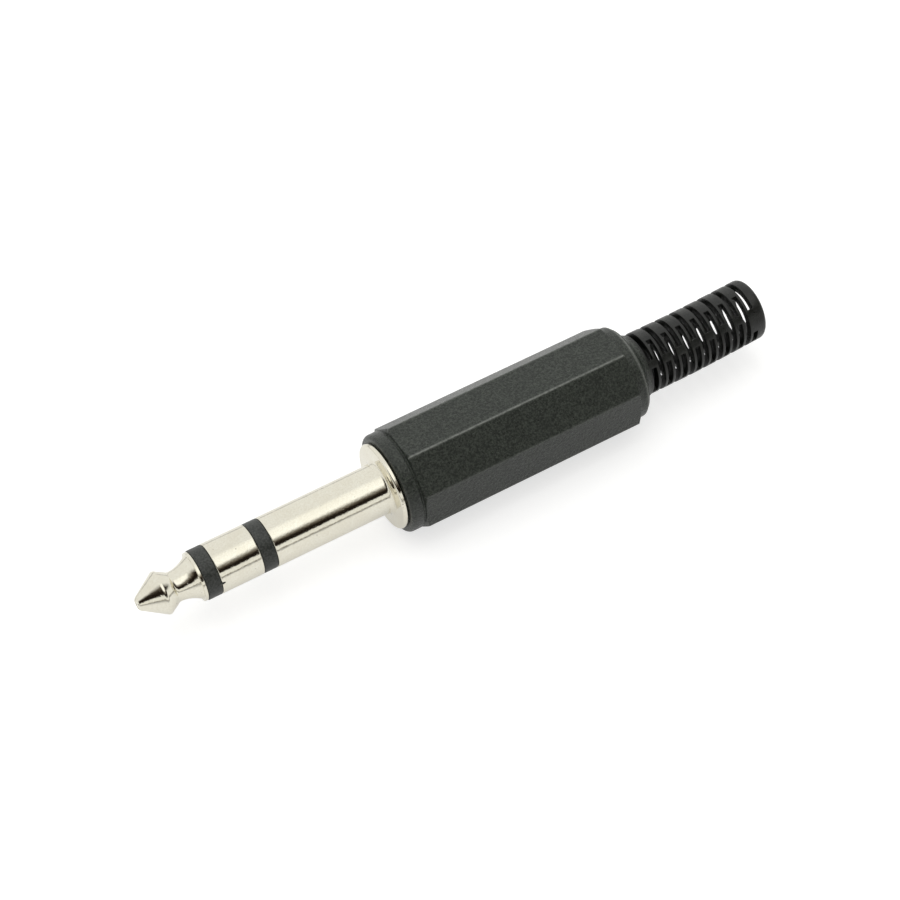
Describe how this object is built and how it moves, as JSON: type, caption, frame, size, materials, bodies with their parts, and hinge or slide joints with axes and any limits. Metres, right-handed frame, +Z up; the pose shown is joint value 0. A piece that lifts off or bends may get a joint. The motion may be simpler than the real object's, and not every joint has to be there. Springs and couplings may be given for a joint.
{
  "type": "stereo jack plug",
  "caption": "6.35 mm stereo jack plug: tip, ring and sleeve contacts, a screw-on octagonal cover and a slotted strain relief for the cable",
  "frame": {"origin": "under the middle of the plug, on the surface that it lies on, with one flat of the cover down", "axes": "+X along the plug from the tip to the cable end, +Z up, +Y across the plug"},
  "size_m": [0.0856, 0.0126, 0.0127],
  "materials": {
    "nickel": "polished",
    "tinned": "satin",
    "insulation": "satin",
    "washer": "satin",
    "cover": "satin",
    "relief": "satin"
  },
  "bodies": {
    "plug": {"tip_contact": "nickel", "tip_rod": "nickel", "tip_insulator": "insulation", "ring_contact": "nickel", "ring_tube": "tinned", "ring_insulator": "insulation", "sleeve_contact": "nickel", "cable_clamp": "tinned", "ring_washer": "washer", "ring_terminal": "tinned", "tip_washer": "washer", "tip_terminal": "tinned"},
    "relief": {"strain_relief": "relief"},
    "shell": {"cover": "cover"}
  },
  "joints": [
    {"name": "cover_draw", "type": "slide", "parent": "plug", "child": "relief", "axis": [1, 0, 0], "range_m": [0, 0.00905]},
    {"name": "cover_unscrew", "type": "hinge", "parent": "relief", "child": "shell", "pos_m": [0, 0, 0.00635], "axis": [1, 0, 0], "range_deg": [0, 3240]}
  ],
  "couplings": [
    {"joint": "cover_draw", "follows": "cover_unscrew", "m_per_rad": 0.00015915}
  ]
}
